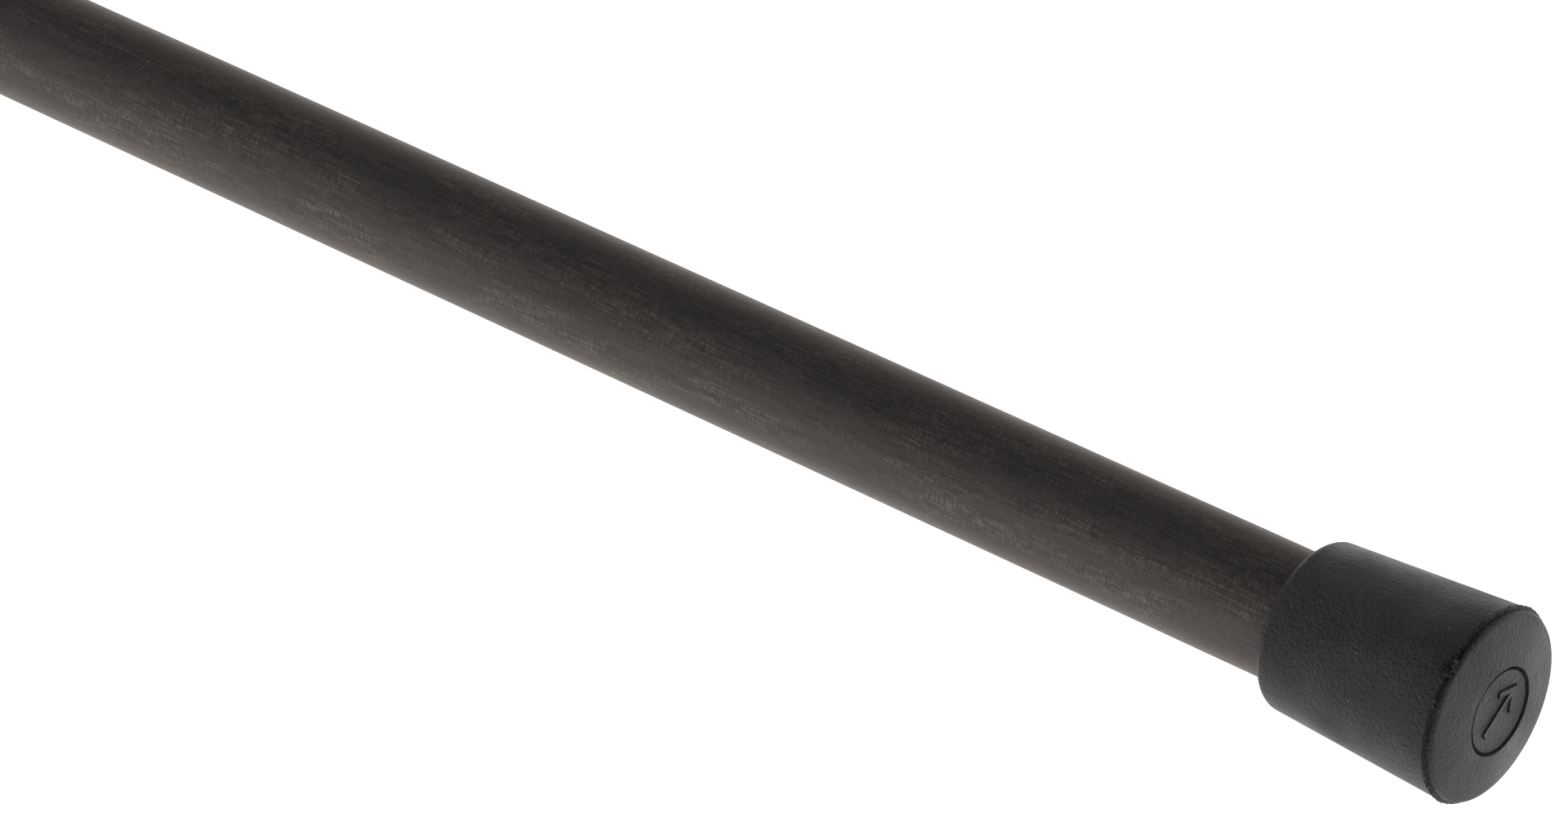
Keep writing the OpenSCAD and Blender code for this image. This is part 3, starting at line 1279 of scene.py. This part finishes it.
    def _roughen_flash(self, mesh: BMesh) -> None:
        """Make the flash line's height and place uneven round the rim.

        Args:
            mesh: The cap's mesh.
        """
        crest = self.rim_radius
        rim_at = self.at(self.rim_back)
        mid, slow, fine, drift = self.flash_waves
        level, swing, fine_share = self.flash_shares
        for vert in mesh.verts:
            radius = math.hypot(vert.co.y, vert.co.z)
            if radius > crest and abs(vert.co.x - rim_at) < self.flash:
                angle = math.atan2(vert.co.z, vert.co.y)
                ripple = math.sin(mid * angle + self.flash_phase) * math.sin(slow * angle)
                ripple += fine_share * math.sin(fine * angle)
                kept = crest + (radius - crest) * (level + swing * ripple)
                vert.co.y *= kept / radius
                vert.co.z *= kept / radius
                vert.co.x += self.flash_drift * math.sin(drift * angle)

    def _arrow(self) -> list[Vector]:
        """Draw the raised arrow on the mark's floor.

        Returns:
            Its outline.
        """
        half, tail, tip, barb = self.stroke / 2, self.arrow_tail, self.arrow_tip, self.arrow_barb
        slant = self.stroke * math.sqrt(0.5)
        back = tip - barb
        neck = tip - math.sqrt(2) * self.stroke - half
        upper = [(tip, 0.0), (back, barb), (back - slant, barb - slant), (neck, half), (tail, half)]
        lower = [(u, -v) for u, v in reversed(upper[1:])]
        turn = math.radians(self.arrow_turn if self.outward > 0 else 180 - self.arrow_turn)
        cos, sin = math.cos(turn), math.sin(turn)
        return [Vector((u * cos - v * sin, u * sin + v * cos, 0)) for u, v in upper + lower]

    def _fill_mark(self, mesh: BMesh) -> None:
        """Close the mark's floor round a raised arrow.

        Args:
            mesh: The cap's mesh, whose first ring is the edge of the floor.
        """
        mesh.verts.ensure_lookup_table()
        rim = mesh.verts[: self.segments]
        outline = self._arrow()
        trench = self.mark_depth + self.trench_depth
        levels = [
            (self.mark_depth, inset(outline, -self.trench_width)),
            (trench, inset(outline, -self.trench_foot * self.trench_width)),
            (trench, outline),
            (0.0, inset(outline, self.symbol_slope)),
        ]
        loops = [
            [mesh.verts.new((self.at(back), p.x, p.y)) for p in points] for back, points in levels
        ]
        ring = [Vector((v.co.y, v.co.z, 0)) for v in rim]
        corners = [*rim, *loops[0]]
        for face in tessellate_polygon([ring, levels[0][1]]):
            mesh.faces.new([corners[i] for i in face])
        for face in tessellate_polygon([levels[-1][1]]):
            mesh.faces.new([loops[-1][i] for i in face])
        for outer, inner in zip(loops, loops[1:]):
            for i, vert in enumerate(outer):
                j = (i + 1) % len(outer)
                mesh.faces.new((vert, outer[j], inner[j], inner[i]))


@dataclass
class MainTube:
    """The dark brushed tube, and the steel disc and guide bush inside it."""

    wall: float = 0.8 * MM

    def build(self, workshop: Workshop) -> None:
        """Make the tube and dress the pieces in it.

        Args:
            workshop: Fits pieces to the frame.
        """
        span = Span.of("main_tube")
        corners = tube_section(span, span.radius - self.wall, 0.15 * MM, 0.1 * MM)
        workshop.fit(turned("main_tube_brushed", corners, TUBE_METAL, segments=160), "main_tube")
        workshop.dress(BRIGHT_STEEL, "fixed_cap_washer")
        workshop.dress(NATURAL_NYLON, "guide_bush")


@dataclass
class TwistLock:
    """The threaded lock sleeve, the collet inside it and the ribbed nut that closes it."""

    collar_length: float = 6.0 * MM
    collar_grooves: Range = (2.2 * MM, 3.8 * MM)
    groove: float = 0.25 * MM
    thread_radius: float = 6.4 * MM
    thread_pitch: float = 1.5 * MM
    thread_depth: float = 0.55 * MM
    thread_ends: Range = (0.4 * MM, 1.5 * MM)
    grip_length: float = 18.0 * MM
    bush_flange: float = 1.5 * MM
    lip_length: float = 2.0 * MM
    tube_radius: float = 5.0 * MM
    pass_radius: float = 4.3 * MM
    seat_near_radius: float = 4.8 * MM
    seat_far_radius: float = 5.6 * MM
    nut_bore: float = 6.5 * MM
    nut_end: float = 3.5 * MM
    nut_skirt: float = 0.9 * MM
    hollow_depth: float = 0.5 * MM
    hollow_radii: tuple[float, float, float, float] = (6.6 * MM, 6.2 * MM, 5.3 * MM, 4.9 * MM)
    rib_count: int = 16
    rib_height: float = 0.42 * MM
    rib_sharpness: float = 2.2
    rib_ends: Range = (2.4 * MM, 1.4 * MM)

    def build(self, workshop: Workshop) -> None:
        """Make the sleeve and the nut, and dress the collet and its ring.

        Args:
            workshop: Fits pieces to the frame.
        """
        workshop.fit(self._sleeve(), "lock_sleeve")
        workshop.fit(self._nut(), "lock_nut")
        workshop.dress(NATURAL_NYLON, "collet")
        workshop.dress(TURNED_BRASS, "thrust_ring")

    def _sleeve(self) -> Object:
        """Make the lock sleeve with its grooved collar and cut thread.

        Returns:
            The sleeve.
        """
        span = Span.of("lock_sleeve")
        shoulder = span.near - self.collar_length
        lip_near = span.near - self.grip_length - self.bush_flange
        seat_near = lip_near - self.lip_length
        collar = [Corner(span.near, span.radius, 0.5 * MM)]
        for x in (span.near - back for back in self.collar_grooves):
            collar += [
                Corner(x + self.groove, span.radius),
                Corner(x, span.radius - self.groove, 0.08 * MM),
                Corner(x - self.groove, span.radius),
            ]
        corners = [
            *collar,
            Corner(shoulder, span.radius, 0.4 * MM),
            Corner(shoulder, self.thread_radius, 0.1 * MM),
            *rings(shoulder, span.far, self.thread_pitch / 10, self.thread_radius),
            Corner(span.far, self.thread_radius, 0.3 * MM),
            Corner(span.far, self.seat_far_radius, 0.1 * MM),
            Corner(seat_near, self.seat_near_radius),
            Corner(seat_near, self.pass_radius),
            Corner(lip_near, self.pass_radius),
            Corner(lip_near, self.tube_radius),
            Corner(span.near, self.tube_radius, 0.2 * MM),
        ]
        sleeve = turned("lock_sleeve_threaded", corners, LOCK_NYLON, segments=128)
        cut = SkinCut(
            shoulder - self.thread_ends[0],
            span.far + self.thread_ends[1],
            self.thread_pitch,
            self.thread_depth,
            self.thread_radius - 0.02 * MM,
        )
        return threading(cut, LOCK_NYLON).use_on(sleeve)

    def _nut(self) -> Object:
        """Make the ribbed nut with its hollow end face.

        Returns:
            The nut.
        """
        span = Span.of("lock_nut")
        end_inside, hollow = span.far + self.nut_end, span.far + self.hollow_depth
        skirt = self.nut_skirt
        crown = span.radius - skirt
        outer, floor_outer, floor_inner, inner = self.hollow_radii
        corners = [
            Corner(span.near, crown, 0.3 * MM),
            Corner(span.near - skirt, span.radius, 0.5 * MM),
            *rings(span.near - skirt, span.far + skirt, 0.5 * MM, span.radius),
            Corner(span.far + skirt, span.radius, 0.5 * MM),
            Corner(span.far, crown, 0.3 * MM),
            Corner(span.far, outer, 0.15 * MM),
            Corner(hollow, floor_outer, 0.15 * MM),
            Corner(hollow, floor_inner, 0.15 * MM),
            Corner(span.far, inner, 0.15 * MM),
            Corner(span.far, self.pass_radius, 0.25 * MM),
            Corner(end_inside, self.pass_radius, 0.1 * MM),
            Corner(end_inside, self.nut_bore, 0.1 * MM),
            Corner(span.near, self.nut_bore, 0.3 * MM),
        ]
        nut = turned("lock_nut_ribbed", corners, NUT_PLASTIC, segments=384)
        cut = SkinCut(
            span.near - self.rib_ends[0],
            span.far + self.rib_ends[1],
            0.8 * MM,
            self.rib_height,
            span.radius - 0.05 * MM,
        )
        tool = fluting(cut, self.rib_count, self.rib_sharpness, NUT_PLASTIC)
        return tool.use_on(nut, crease=40)


@dataclass
class InnerBar:
    """The sliding inner tube with its guide plug, thread insert and pins."""

    wall: float = 0.6 * MM
    pin_radius: float = 0.75 * MM
    insert_length: float = 12.0 * MM
    spigot_length: float = 10.0 * MM
    flange_length: float = 1.5 * MM
    insert_bore: float = 2.6 * MM

    def build(self, workshop: Workshop) -> None:
        """Make the tube and the insert and dress what is inside.

        Args:
            workshop: Fits pieces to the frame.
        """
        workshop.fit(self._tube(), "inner_tube")
        workshop.fit(self._insert(), "threaded_insert")
        workshop.dress(NATURAL_NYLON, "guide_plug")
        workshop.dress(BRIGHT_STEEL, "plug_pin", "insert_pins")

    def _tube(self) -> Object:
        """Make the tube with its two cross holes.

        Returns:
            The tube.
        """
        span = Span.of("inner_tube")
        corners = tube_section(span, span.radius - self.wall, 0.1 * MM, 0.08 * MM)
        tube = turned("inner_tube_brushed", corners, TUBE_STEEL, segments=128)
        reach = 2 * span.radius
        for x in (span.near - self.spigot_length / 2, span.far + self.insert_length / 2):
            drill(tube, x, self.pin_radius, -reach, reach)
        return tube

    def _insert(self) -> Object:
        """Make the brass insert with its flange and the hole for its pins.

        Returns:
            The insert.
        """
        span, tube = Span.of("threaded_insert"), Span.of("inner_tube")
        body = tube.radius - self.wall
        flange_near = span.far + self.flange_length
        corners = [
            Corner(span.near, self.insert_bore, 0.3 * MM),
            Corner(span.near, body, 0.3 * MM),
            Corner(flange_near, body, 0.05 * MM),
            Corner(flange_near, span.radius, 0.15 * MM),
            Corner(span.far, span.radius, 0.25 * MM),
            Corner(span.far, self.insert_bore, 0.3 * MM),
        ]
        insert = turned("threaded_insert_turned", corners, TURNED_BRASS)
        reach = 2 * span.radius
        return drill(insert, tube.far + self.insert_length / 2, self.pin_radius, -reach, reach)


@dataclass
class ScrewFoot:
    """The stud, the finger wheel that turns it, and the stem that carries the second cap."""

    stud_radius: float = 2.5 * MM
    thread_pitch: float = 0.8 * MM
    thread_depth: float = 0.42 * MM
    thread_ends: Range = (0.6 * MM, 0.5 * MM)
    clip_groove: float = 0.5 * MM
    journal_radius: float = 2.0 * MM
    wheel_skirt: float = 0.6 * MM
    wheel_dish: float = 0.5 * MM
    wheel_rim: float = 7.0 * MM
    wheel_hub: float = 4.7 * MM
    dish_slope: float = 0.3 * MM
    groove_count: int = 24
    groove_depth: float = 0.4 * MM
    groove_sharpness: float = 0.6
    screw_hole: float = 1.5 * MM
    clip_room: float = 8.0 * MM
    clip_room_radius: float = 3.8 * MM
    stem_bore: float = 2.05 * MM

    def build(self, workshop: Workshop) -> None:
        """Make the turning and the sliding pieces and dress the clips.

        Args:
            workshop: Fits pieces to the frame.
        """
        workshop.fit(self._stud(), "adjuster_stud")
        workshop.fit(self._wheel(), "finger_wheel")
        washer = tube_section(Span.of("thrust_washer"), self.journal_radius, 0.12 * MM, 0.12 * MM)
        workshop.fit(turned("thrust_washer_turned", washer, TURNED_BRASS), "thrust_washer")
        workshop.fit(self._stem(), "foot_stem")
        workshop.dress(SPRING_STEEL, "stud_stop_clip", "foot_clip", "wheel_set_screw")
        workshop.dress(BRIGHT_STEEL, "adjuster_cap_washer")

    def _stud(self) -> Object:
        """Make the stud with its cut thread, clip grooves and smooth journal.

        Returns:
            The stud.
        """
        span, wheel = Span.of("adjuster_stud"), Span.of("finger_wheel")
        stop, clip = Span.of("stud_stop_clip"), Span.of("foot_clip")
        radius, journal = self.stud_radius, self.journal_radius
        corners = [
            Corner(span.near, 0.0),
            Corner(span.near, radius, 0.4 * MM),
            Corner(stop.near, radius),
            Corner(stop.near, radius - self.clip_groove),
            Corner(stop.far, radius - self.clip_groove),
            Corner(stop.far, radius),
            *rings(stop.far - 0.4 * MM, wheel.far, self.thread_pitch / 8, radius),
            Corner(wheel.far, radius),
            Corner(wheel.far, journal),
            Corner(clip.near, journal),
            Corner(clip.near, journal - self.clip_groove),
            Corner(clip.far, journal - self.clip_groove),
            Corner(clip.far, journal),
            Corner(span.far, journal, 0.3 * MM),
            Corner(span.far, 0.0),
        ]
        stud = turned("adjuster_stud_threaded", corners, BRIGHT_STEEL, segments=72, closed=False)
        cut = SkinCut(
            stop.far - self.thread_ends[0],
            wheel.near - self.thread_ends[1],
            self.thread_pitch,
            self.thread_depth,
            radius - 0.02 * MM,
        )
        return threading(cut, BRIGHT_STEEL).use_on(stud)

    def _wheel(self) -> Object:
        """Make the grooved finger wheel with its dished faces and set screw hole.

        Returns:
            The wheel.
        """
        span = Span.of("finger_wheel")
        skirt, rim, hub, slope = self.wheel_skirt, self.wheel_rim, self.wheel_hub, self.dish_slope

        def face(end: float, inward: float) -> list[Corner]:
            """Return a dished face from its bore to the wheel's edge."""
            floor = end + inward * self.wheel_dish
            return [
                Corner(end, self.stud_radius),
                Corner(end, hub, 0.15 * MM),
                Corner(floor, hub + slope, 0.15 * MM),
                Corner(floor, rim - slope, 0.15 * MM),
                Corner(end, rim, 0.15 * MM),
                Corner(end, span.radius - skirt, 0.2 * MM),
                Corner(end + inward * skirt, span.radius, 0.2 * MM),
            ]

        corners = [
            *face(span.near, -1),
            *rings(span.near - skirt, span.far + skirt, 0.45 * MM, span.radius),
            *reversed(face(span.far, 1)),
        ]
        wheel = turned("finger_wheel_grooved", corners, TURNED_STEEL, segments=384)
        near, far = span.near + 0.1 * MM, span.far - 0.1 * MM
        cut = SkinCut(near, far, 0.3 * MM, self.groove_depth, span.radius - 0.65 * MM)
        tool = fluting(cut, self.groove_count, self.groove_sharpness, TURNED_STEEL)
        tool.use_on(wheel, crease=40)
        return drill(wheel, (span.near + span.far) / 2, self.screw_hole, 0.0, 2 * span.radius)

    def _stem(self) -> Object:
        """Make the foot's stem with the bearing for the journal and the hollow for its clip.

        Returns:
            The stem.
        """
        span = Span.of("foot_stem")
        room = span.far + self.clip_room
        corners = [
            Corner(span.near, self.stem_bore, 0.2 * MM),
            Corner(span.near, span.radius, 0.4 * MM),
            *rings(span.near, span.far, 4 * MM, span.radius),
            Corner(span.far, span.radius, 0.3 * MM),
            Corner(span.far, self.clip_room_radius, 0.2 * MM),
            Corner(room, self.clip_room_radius, 0.2 * MM),
            Corner(room, self.stem_bore, 0.1 * MM),
        ]
        return turned("foot_stem_brushed", corners, TUBE_METAL, segments=160)


# --- Studio ---


@dataclass(frozen=True)
class Softbox:
    """A soft white light: where it stands, its size and its power. It faces the cap."""

    name: str
    place: tuple[float, float, float]
    size: Range
    power: float

    def build(self, aim: Vector) -> None:
        """Make the light and turn it to face a point.

        Args:
            aim: The point.
        """
        data = bpy.data.lights.new(self.name, "AREA")
        data.shape = "RECTANGLE"
        data.size, data.size_y = self.size
        data.energy = self.power
        lamp = put(self.name, data)
        lamp.location = self.place
        lamp.rotation_euler = (aim - Vector(self.place)).to_track_quat("-Z", "Y").to_euler()


@dataclass
class Studio:
    """A pale glowing floor, soft lights at the sides, a glowing room, and the camera."""

    floor_size: float = 60.0
    low_light: float = 0.75
    high_light: float = 0.2
    fade: Range = (0.1, 0.9)
    softboxes: tuple[Softbox, ...] = (
        Softbox("left_softbox", (-1.4, -0.5, 0.6), (1.2, 1.0), 1.0),
        Softbox("right_softbox", (0.8, 1.3, 0.45), (1.2, 0.8), 8.0),
    )
    rim_back: float = 1.3 * MM
    azimuth: float = 40.46
    elevation: float = 32.57
    lens: float = 172.68
    sensor_width: float = 36.0
    clip_start: float = 0.01
    distance: float = 0.53243
    rim_right: float = 0.04966
    rim_below: float = 0.02082

    def build(self) -> None:
        """Make the floor, the lights, the surrounding light and the camera."""
        rim = Vector((Span.of("fixed_end_cap").near - self.rim_back, 0, 0))
        self._floor()
        self._room()
        for softbox in self.softboxes:
            softbox.build(rim)
        self._camera(rim)
        bpy.context.scene.view_settings.view_transform = "Standard"

    def _floor(self) -> None:
        """Lay the floor just under the bar."""
        low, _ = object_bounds()
        mesh = bmesh.new()
        bmesh.ops.create_grid(mesh, x_segments=8, y_segments=8, size=self.floor_size / 2)
        bmesh.ops.translate(mesh, verts=mesh.verts, vec=(0, 0, low[2]))
        make_piece("pale_floor", mesh, FLOOR_PAPER)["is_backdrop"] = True

    def _room(self) -> None:
        """Fill the room with light that fades upwards, behind a plain white backdrop."""
        world = bpy.data.worlds.new("room")
        world.use_nodes = True
        world.node_tree.nodes.clear()
        sheet = NodeSheet(world.node_tree)
        height = sheet.split(sheet.add("ShaderNodeTexCoord").outputs["Generated"])[2]
        light = self.low_light + (self.high_light - self.low_light) * height.step(*self.fade)
        seen = Value(sheet, sheet.add("ShaderNodeLightPath").outputs["Is Camera Ray"])
        inputs = {"Color": (1, 1, 1, 1), "Strength": light + (1 - light) * seen}
        glow = sheet.add("ShaderNodeBackground", inputs=inputs)
        sheet.add("ShaderNodeOutputWorld", inputs={"Surface": glow.outputs["Background"]})
        bpy.context.scene.world = world

    def _camera(self, rim: Vector) -> None:
        """Set the camera so that a point stands right of and below the middle of its view.

        Args:
            rim: The point, at the centre of the seen cap's rim.
        """
        turn, tilt = math.radians(self.azimuth), math.radians(self.elevation)
        right = Vector((math.cos(turn), math.sin(turn), 0))
        level = math.cos(tilt)
        back = Vector((math.sin(turn) * level, -math.cos(turn) * level, math.sin(tilt)))
        up = back.cross(right)
        data = bpy.data.cameras.new("camera")
        data.lens = self.lens
        data.sensor_width = self.sensor_width
        data.clip_start = self.clip_start
        data.dof.use_dof = False
        camera = put("camera", data)
        camera.location = rim - right * self.rim_right + up * self.rim_below + back * self.distance
        camera.rotation_euler = back.to_track_quat("Z", "Y").to_euler()
        bpy.context.scene.camera = camera


def main() -> None:
    """Build the bar's looks and its studio, one sub-assembly at a time."""
    logging.basicConfig(level=logging.INFO, format="%(name)s: %(message)s")
    workshop = Workshop(frame["record"])
    for assembly in (
        RubberCap("fixed_end_cap", outward=1.0),
        MainTube(),
        TwistLock(),
        InnerBar(),
        ScrewFoot(),
        RubberCap("adjuster_end_cap", outward=-1.0),
    ):
        assembly.build(workshop)
        LOG.info("%s is done", type(assembly).__name__)
    Studio().build()


if __name__ == "__main__":
    main()
